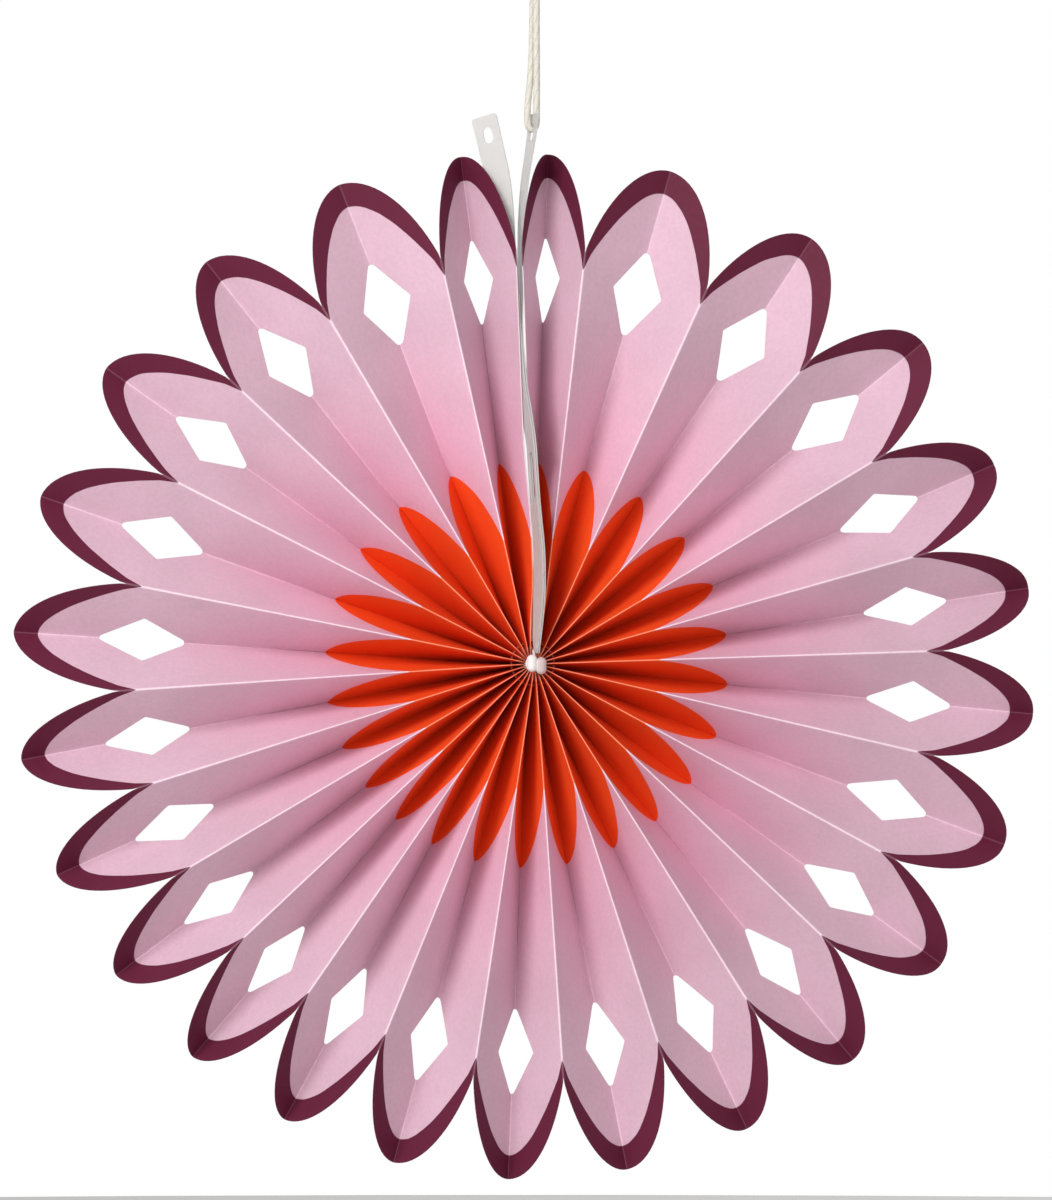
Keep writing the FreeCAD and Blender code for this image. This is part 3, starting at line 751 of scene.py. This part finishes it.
def fold_print_tree(sizes, colours):
    """The three printed bands, with bounce light painted into the pink near the hub, and the worn
    folds with a painted highlight along them.
    """
    tree, start, end = new_tree("Fold Print", "ShaderNodeTree",
                                (("Along", "NodeSocketFloat", 0.1),
                                 ("Across", "NodeSocketFloat", 0.5),
                                 ("Waver", "NodeSocketFloat", 0.5),
                                 ("Burgundy", "NodeSocketColor", (*colours.burgundy, 1.0)),
                                 ("Pink", "NodeSocketColor", (*colours.pink, 1.0)),
                                 ("Bounce Lit Pink", "NodeSocketColor", (*colours.bounce_lit_pink, 1.0)),
                                 ("Orange", "NodeSocketColor", (*colours.orange, 1.0)),
                                 ("Pink Crease Wear And Highlight", "NodeSocketColor", (*colours.pink_crease_wear_and_highlight, 1.0)),
                                 ("Orange Crease Wear And Highlight", "NodeSocketColor",
                                  (*colours.orange_crease_wear_and_highlight, 1.0)),
                                 ("Paper Core", "NodeSocketColor", (*colours.paper_core, 1.0))),
                                (("Color", "NodeSocketColor"), ("Crease", "NodeSocketFloat")))
    along = start.outputs["Along"]
    across = start.outputs["Across"]
    shifted = math(tree, "MULTIPLY", math(tree, "SUBTRACT", start.outputs["Waver"], 0.5),
                   PRINT_WAVER)
    place = math(tree, "ADD", along, shifted)
    outward = math(tree, "DIVIDE", math(tree, "MAXIMUM", along, sizes.notch_radius),
                   sizes.notch_radius)
    flat_across = math(tree, "MULTIPLY", across, outward)
    rim_bow = math(tree, "MULTIPLY", math(tree, "POWER", flat_across, RIM_PRINT_ROUND),
                   sizes.rim_print_bow)
    rim_line = math(tree, "SUBTRACT", sizes.rim_print, rim_bow)
    hub_bow = math(tree, "MULTIPLY", math(tree, "POWER", across, HUB_PRINT_ROUND),
                   sizes.hub_print_bow)
    hub_line = math(tree, "SUBTRACT", sizes.hub_print, hub_bow)
    past_rim = math(tree, "SUBTRACT", place, rim_line)
    past_hub = math(tree, "SUBTRACT", place, hub_line)
    in_rim = ramp(tree, past_rim, -PRINT_SOFT, PRINT_SOFT)
    in_hub = ramp(tree, past_hub, -PRINT_SOFT, PRINT_SOFT, 1.0, 0.0)

    from_ridge = math(tree, "MULTIPLY", math(tree, "SUBTRACT", 1.0, across), sizes.leaf_width)
    from_valley = math(tree, "MULTIPLY", across, sizes.leaf_width)
    # lighter along the folds: partly worn ink, partly a painted highlight of the rounded fold
    ridge = ramp(tree, from_ridge, *RIDGE_WEAR_AND_HIGHLIGHT)
    valley = ramp(tree, from_valley, *VALLEY_WEAR_AND_HIGHLIGHT)
    crease = math(tree, "MAXIMUM", ridge, valley)
    # painted bounce light: the pink is lighter and more saturated near the hub and fades to the
    # plain pink outwards
    past_painted_bounce = ramp(tree, along, *PAINTED_BOUNCE_FADE)
    pink = blend_colours(tree, past_painted_bounce, start.outputs["Bounce Lit Pink"], start.outputs["Pink"])

    wear_and_highlight = blend_colours(tree, in_hub, start.outputs["Pink Crease Wear And Highlight"],
                         start.outputs["Orange Crease Wear And Highlight"])
    plain = blend_colours(tree, in_hub, pink, start.outputs["Orange"])
    shown = blend_colours(tree, crease, plain, wear_and_highlight)
    burgundy_wear_and_highlight = math(tree, "MULTIPLY", crease, BURGUNDY_WEAR_AND_HIGHLIGHT)
    rim_colour = blend_colours(tree, burgundy_wear_and_highlight, start.outputs["Burgundy"],
                               start.outputs["Pink Crease Wear And Highlight"])
    shown = blend_colours(tree, in_rim, shown, rim_colour)
    near_hub = ramp(tree, along, *CORE_SHOWS)
    shown = blend_colours(tree, near_hub, shown, start.outputs["Paper Core"])
    plug(tree, end.inputs["Color"], shown)
    plug(tree, end.inputs["Crease"], crease)
    return tree


def new_material(name):
    material = bpy.data.materials.new(name)
    material.use_nodes = True
    return material, material.node_tree, material.node_tree.nodes["Principled BSDF"]


def bump(tree, shader, height, strength, distance):
    node = tree.nodes.new("ShaderNodeBump")
    node.inputs["Strength"].default_value = strength
    node.inputs["Distance"].default_value = distance
    plug(tree, node.inputs["Height"], height)
    plug(tree, shader.inputs["Normal"], node.outputs["Normal"])


def printed_paper(sizes, colours):
    material, tree, shader = new_material("printed_paper")
    grain = use_group(tree, named_tree("Fibre Grain", fibre_tree), scale=900.0)
    wave = noise(tree, object_place(tree), 160.0, 2.0, 0.55)
    printed = use_group(tree, fold_print_tree(sizes, colours),
                        along=shader_value(tree, "along"),
                        across=shader_value(tree, "across"), waver=wave)
    speck = ramp(tree, grain.outputs["Grain"], 0.30, 0.70, 0.955, 1.03)
    cloud = ramp(tree, grain.outputs["Cloud"], 0.35, 0.65, 0.97, 1.02)
    tone = math(tree, "MULTIPLY", speck, cloud)
    plug(tree, shader.inputs["Base Color"], toned(tree, printed.outputs["Color"], tone))
    rough = ramp(tree, grain.outputs["Grain"], 0.3, 0.7, 0.56, 0.68)
    plug(tree, shader.inputs["Roughness"], rough)
    shader.inputs["Specular IOR Level"].default_value = 0.18
    bump(tree, shader, grain.outputs["Grain"], 0.12, 0.00008)
    return material


def clear_plastic(colours):
    material, tree, shader = new_material("clear_strip")
    shader.inputs["Base Color"].default_value = (*colours.strip, 1.0)
    shader.inputs["Transmission Weight"].default_value = 0.35
    shader.inputs["IOR"].default_value = 1.30
    grain = use_group(tree, named_tree("Fibre Grain", fibre_tree), scale=500.0,
                      stretch=(1.0, 1.0, 0.12))
    rough = ramp(tree, grain.outputs["Cloud"], 0.3, 0.7, 0.22, 0.36)
    plug(tree, shader.inputs["Roughness"], rough)
    bump(tree, shader, grain.outputs["Cloud"], 0.15, 0.0001)
    return material


def binding_thread(colours):
    """White thread, with painted shade that makes its right lobe darker and pinker, and a painted
    dark red shade where it runs between the folds.
    """
    material, tree, shader = new_material("white_thread")
    grain = use_group(tree, named_tree("Fibre Grain", fibre_tree), scale=2600.0)
    place = vector_math(tree, "SUBTRACT", object_place(tree), tuple(HUB))
    split = tree.nodes.new("ShaderNodeSeparateXYZ")
    plug(tree, split.inputs[0], place)
    flat = vector_math(tree, "MULTIPLY", place, (1.0, 0.0, 1.0))
    # painted shade where the thread runs between the folds
    painted_fold_shade = ramp(tree, vector_math(tree, "LENGTH", flat), *TIE_PAINTED_FOLD_SHADE)
    # painted shade on the knot's right lobe
    painted_lobe_shade = ramp(tree, split.outputs["X"], *TIE_PAINTED_LOBE_SHADE)
    speck = ramp(tree, grain.outputs["Grain"], 0.3, 0.7, 0.0, 0.12)
    shown = blend_colours(tree, painted_lobe_shade, (*colours.thread, 1.0), (*colours.thread_shade, 1.0))
    shown = blend_colours(tree, painted_fold_shade, shown, (*colours.thread_fold_shade_and_speck, 1.0))
    shown = blend_colours(tree, speck, shown, (*colours.thread_fold_shade_and_speck, 1.0))
    plug(tree, shader.inputs["Base Color"], shown)
    shader.inputs["Roughness"].default_value = 0.65
    bump(tree, shader, grain.outputs["Grain"], 0.5, 0.0002)
    return material


def spun_yarn(name, tint, fibre_scale):
    material, tree, shader = new_material(name)
    grain = use_group(tree, named_tree("Fibre Grain", fibre_tree), scale=fibre_scale)
    # painted shade: the cord is darker in the grooves between its plies
    groove = ramp(tree, shader_value(tree, "ply"), 0.0, 0.5, 0.80, 1.0)
    speck = ramp(tree, grain.outputs["Grain"], 0.3, 0.7, 0.92, 1.04)
    tone = math(tree, "MULTIPLY", groove, speck)
    plug(tree, shader.inputs["Base Color"], toned(tree, (*tint, 1.0), tone))
    shader.inputs["Roughness"].default_value = 0.72
    shader.inputs["Sheen Weight"].default_value = 0.25
    bump(tree, shader, grain.outputs["Grain"], 0.35, 0.0001)
    return material


def scene_sizes():
    return bpy.context.scene.rosette_sizes


def scene_colours():
    return bpy.context.scene.rosette_colours


# Pieces


class ROSETTE_OT_hanging_cord(bpy.types.Operator):
    """Makes the hanging cord and the knot at its top"""

    bl_idname = "rosette.hanging_cord"
    bl_label = "Hanging Cord"

    def execute(self, context):
        sizes = scene_sizes()
        material = spun_yarn("cotton_cord", scene_colours().cord, 1500.0)
        tree = named_tree("Plied Cord", plied_cord_tree)
        points = [Vector(p) * MM for p in CORD_ROUTE]
        route = route_object(points)
        path = route_points(route)
        cord = plied(route, "hanging_cord_visual", tree, material, diameter=sizes.cord,
                     lay=sizes.cord_lay, groove=CORD_GROOVE, sides=24)
        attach(cord, "root")
        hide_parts("hanging_cord")

        wind = []
        for i in range(KNOT_STEPS):
            turn = 2.0 * pi * i / KNOT_STEPS
            wind.append(Vector((KNOT_SPREAD * (sin(turn) + 2.0 * sin(2.0 * turn)),
                                KNOT_SPREAD * (cos(turn) - 2.0 * cos(2.0 * turn)),
                                KNOT_MIDDLE - KNOT_RISE * sin(3.0 * turn))) * MM)
        knot = plied(route_object(wind, closed=True), "hanging_knot_visual", tree, material,
                     diameter=sizes.cord, lay=sizes.cord_lay, groove=CORD_GROOVE, sides=18)
        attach(knot, "root")
        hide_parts("hanging_knot")
        return {"FINISHED"}


class ROSETTE_OT_pleated_sheet(bpy.types.Operator):
    """Folds the printed paper sheet into the fan"""

    bl_idname = "rosette.pleated_sheet"
    bl_label = "Pleated Sheet"

    def execute(self, context):
        sizes = scene_sizes()
        material = printed_paper(sizes, scene_colours())
        pattern = link(bpy.data.objects.new("leaf_pattern", leaf_pattern(sizes)))
        fan = link(bpy.data.objects.new("pleated_sheet_visual", leaf_points(sizes)))
        tree = named_tree("Pleated Fan", pleated_fan_tree)
        modifier = fan.modifiers.new("Pleated Fan", "NODES")
        modifier.node_group = tree
        set_inputs(modifier, tree, {
            "Leaf Pattern": pattern, "Leaf Width": sizes.leaf_width,
            "Hub Radius": sizes.hub_radius, "Notch Radius": sizes.notch_radius,
            "Mean Step": pi / len(OPENINGS) / 2.0, "Fold Rounding": sizes.fold_round,
            "Hub Place": HUB, "Material": material})
        sheet = plain_mesh(fan, "pleated_sheet_visual")
        bpy.data.objects.remove(pattern)
        if len(sheet.data.polygons) < LEAST_FACES:
            raise RuntimeError("the pleated sheet has no leaves")
        sheet.data.shade_smooth()
        wall = sheet.modifiers.new("Paper", "SOLIDIFY")
        wall.thickness = sizes.paper
        wall.offset = 0.0
        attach(sheet, "root")
        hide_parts("pleated_sheet")
        return {"FINISHED"}


def merged_copy(node_name, name, material):
    """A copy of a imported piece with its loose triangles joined, in one material."""
    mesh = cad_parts[node_name].data.copy()
    mesh.name = name
    work = bmesh.new()
    work.from_mesh(mesh)
    bmesh.ops.remove_doubles(work, verts=work.verts, dist=0.000002)
    bmesh.ops.dissolve_limit(work, angle_limit=radians(0.5), verts=work.verts, edges=work.edges)
    work.to_mesh(mesh)
    work.free()
    mesh.materials.clear()
    mesh.materials.append(material)
    return link(bpy.data.objects.new(name, mesh))


class ROSETTE_OT_end_strips(bpy.types.Operator):
    """Makes the two clear strips that close the fan"""

    bl_idname = "rosette.end_strips"
    bl_label = "End Strips"

    def execute(self, context):
        sizes = scene_sizes()
        material = clear_plastic(scene_colours())
        for side in ("left", "right"):
            node = side + "_end_strip"
            strip = merged_copy(node, node + "_visual", material)
            edge = strip.modifiers.new("Soft Edges", "BEVEL")
            edge.width = sizes.strip_edge
            edge.segments = 2
            edge.limit_method = "ANGLE"
            edge.angle_limit = SHARP_ANGLE
            strip.data.shade_smooth()
            strip.data.set_sharp_from_angle(angle=SHARP_ANGLE)
            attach(strip, "root")
            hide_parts(node)
        return {"FINISHED"}


class ROSETTE_OT_centre_tie(bpy.types.Operator):
    """Makes the binding thread and its two-lobed knot"""

    bl_idname = "rosette.centre_tie"
    bl_label = "Centre Tie"

    def execute(self, context):
        material = binding_thread(scene_colours())
        tie = merged_copy("centre_tie", "centre_tie_visual", material)
        tie.data.shade_smooth()
        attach(tie, "root")
        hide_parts("centre_tie")
        return {"FINISHED"}


# Studio


def soft_lamp(name, place, aim, size, power):
    lamp = bpy.data.lights.new(name, "AREA")
    lamp.shape = "DISK"
    lamp.size = size
    lamp.energy = power
    obj = link(bpy.data.objects.new(name, lamp))
    obj.location = place
    obj.rotation_euler = (Vector(aim) - Vector(place)).to_track_quat("-Z", "Y").to_euler()


class ROSETTE_OT_studio(bpy.types.Operator):
    """Sets up the camera, the lamps, the backdrop and the floor"""

    bl_idname = "rosette.studio"
    bl_label = "Studio"

    def execute(self, context):
        scene = context.scene
        scene.view_settings.view_transform = "Standard"
        turn = radians(CAMERA_TURN)
        rise = radians(CAMERA_RISE)
        back = Vector((sin(turn) * cos(rise), -cos(turn) * cos(rise), sin(rise)))
        right = Vector((cos(turn), sin(turn), 0.0))
        up = Vector((-sin(turn) * sin(rise), cos(turn) * sin(rise), cos(rise)))
        aim = HUB + right * (CAMERA_AIM[0] * MM) + up * (CAMERA_AIM[1] * MM)
        camera = bpy.data.cameras.new("camera")
        camera.sensor_width = 36.0
        view_height = PICTURE_HEIGHT / PIXELS_PER_MM * MM
        camera.lens = camera.sensor_width * CAMERA_DISTANCE / view_height
        camera.dof.use_dof = False
        viewer = link(bpy.data.objects.new("camera", camera))
        viewer.location = aim + back * CAMERA_DISTANCE
        viewer.rotation_euler = (-back).to_track_quat("-Z", "Y").to_euler()
        scene.camera = viewer

        for name, place, size, power in LAMPS:
            soft_lamp(name, HUB + Vector(place), HUB, size, power)

        world = bpy.data.worlds.new("backdrop")
        scene.world = world
        world.use_nodes = True
        tree = world.node_tree
        tree.nodes.clear()
        path = tree.nodes.new("ShaderNodeLightPath")
        seen = math(tree, "MAXIMUM", path.outputs["Is Camera Ray"],
                    math(tree, "MAXIMUM", path.outputs["Is Glossy Ray"],
                         path.outputs["Is Transmission Ray"]))
        light = tree.nodes.new("ShaderNodeBackground")
        light.inputs["Color"].default_value = WORLD_COLOUR
        light.inputs["Strength"].default_value = WORLD_LIGHT
        white = tree.nodes.new("ShaderNodeBackground")
        white.inputs["Color"].default_value = (1.0, 1.0, 1.0, 1.0)
        white.inputs["Strength"].default_value = 1.0
        pick = tree.nodes.new("ShaderNodeMixShader")
        plug(tree, pick.inputs[0], seen)
        plug(tree, pick.inputs[1], light.outputs[0])
        plug(tree, pick.inputs[2], white.outputs[0])
        end = tree.nodes.new("ShaderNodeOutputWorld")
        plug(tree, end.inputs["Surface"], pick.outputs[0])

        mesh = bpy.data.meshes.new("studio_floor")
        turns = [2.0 * pi * i / FLOOR_SIDES for i in range(FLOOR_SIDES)]
        mesh.from_pydata([(FLOOR_RADIUS * cos(t), FLOOR_RADIUS * sin(t), FLOOR_HEIGHT)
                          for t in turns], [], [tuple(range(FLOOR_SIDES))])
        floor = link(bpy.data.objects.new("studio_floor", mesh))
        material, tree, shader = new_material("studio_floor")
        shader.inputs["Base Color"].default_value = (*scene_colours().floor, 1.0)
        shader.inputs["Roughness"].default_value = 0.9
        mesh.materials.append(material)
        return {"FINISHED"}


PIECES = ("studio", "hanging_cord", "pleated_sheet", "end_strips", "centre_tie")


class ROSETTE_PT_panel(bpy.types.Panel):
    """Lists the rosette's pieces"""

    bl_idname = "ROSETTE_PT_panel"
    bl_label = "Paper Fan Rosette"
    bl_space_type = "VIEW_3D"
    bl_region_type = "UI"
    bl_category = "Rosette"

    def draw(self, context):
        for piece in PIECES:
            self.layout.operator("rosette." + piece)
        for group in (context.scene.rosette_sizes, context.scene.rosette_colours):
            for name in group.bl_rna.properties.keys():
                if name not in ("rna_type", "name"):
                    self.layout.prop(group, name)


CLASSES = (RosetteSizes, RosetteColours, ROSETTE_OT_studio, ROSETTE_OT_hanging_cord,
           ROSETTE_OT_pleated_sheet, ROSETTE_OT_end_strips, ROSETTE_OT_centre_tie,
           ROSETTE_PT_panel)


def register():
    for item in CLASSES:
        bpy.utils.register_class(item)
    bpy.types.Scene.rosette_sizes = PointerProperty(type=RosetteSizes)
    bpy.types.Scene.rosette_colours = PointerProperty(type=RosetteColours)


def unregister():
    del bpy.types.Scene.rosette_colours
    del bpy.types.Scene.rosette_sizes
    for item in reversed(CLASSES):
        bpy.utils.unregister_class(item)


def main():
    register()
    for piece in PIECES:
        getattr(bpy.ops.rosette, piece)()


if __name__ == "__main__":
    main()
